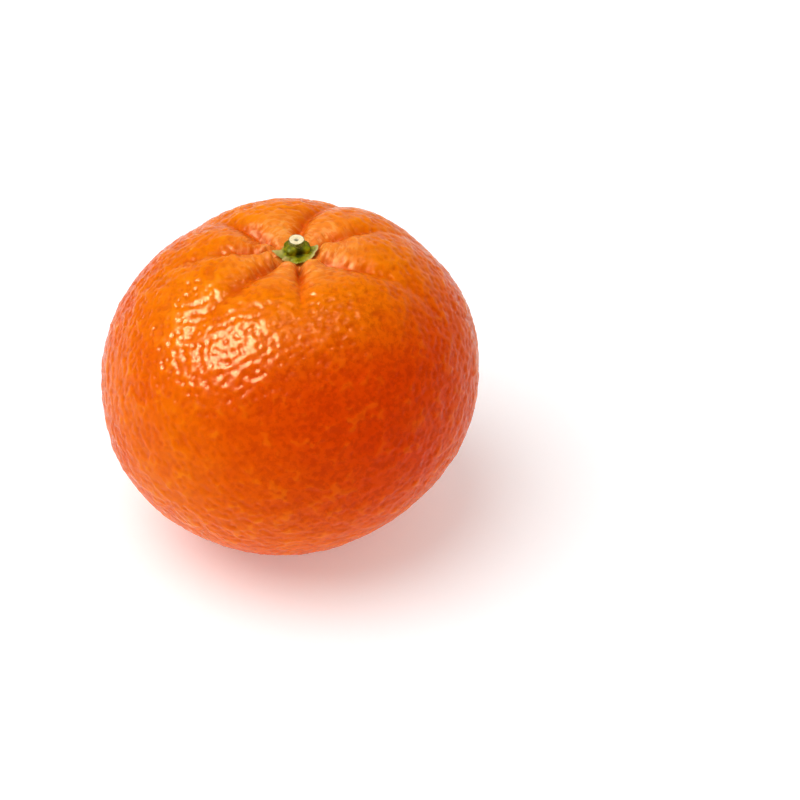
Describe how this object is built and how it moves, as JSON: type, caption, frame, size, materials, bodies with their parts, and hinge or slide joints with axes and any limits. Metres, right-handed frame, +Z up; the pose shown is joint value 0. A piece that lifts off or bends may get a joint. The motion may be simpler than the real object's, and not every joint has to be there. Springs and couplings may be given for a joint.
{
  "type": "mandarin",
  "caption": "Whole ripe mandarin: a flattened, slightly lopsided orange fruit with lobes round a sunken green calyx and a short cut stem, on a small flat resting spot.",
  "frame": {"origin": "on the surface that the fruit stands on, under the middle of its outline", "axes": "+Z up through the stem end, -Y towards the side that the picture shows, +X to the right seen from there"},
  "size_m": [0.0682, 0.0684, 0.0597],
  "materials": {
    "rind": "waxy orange fruit rind with fine oil glands, softly glossy",
    "calyx": "matte green plant tissue with pale sepal edges",
    "stem": "green woody stub with a pale cut face"
  },
  "bodies": {
    "root": {"fruit": "rind", "calyx": "calyx", "stem": "stem"}
  },
  "joints": []
}
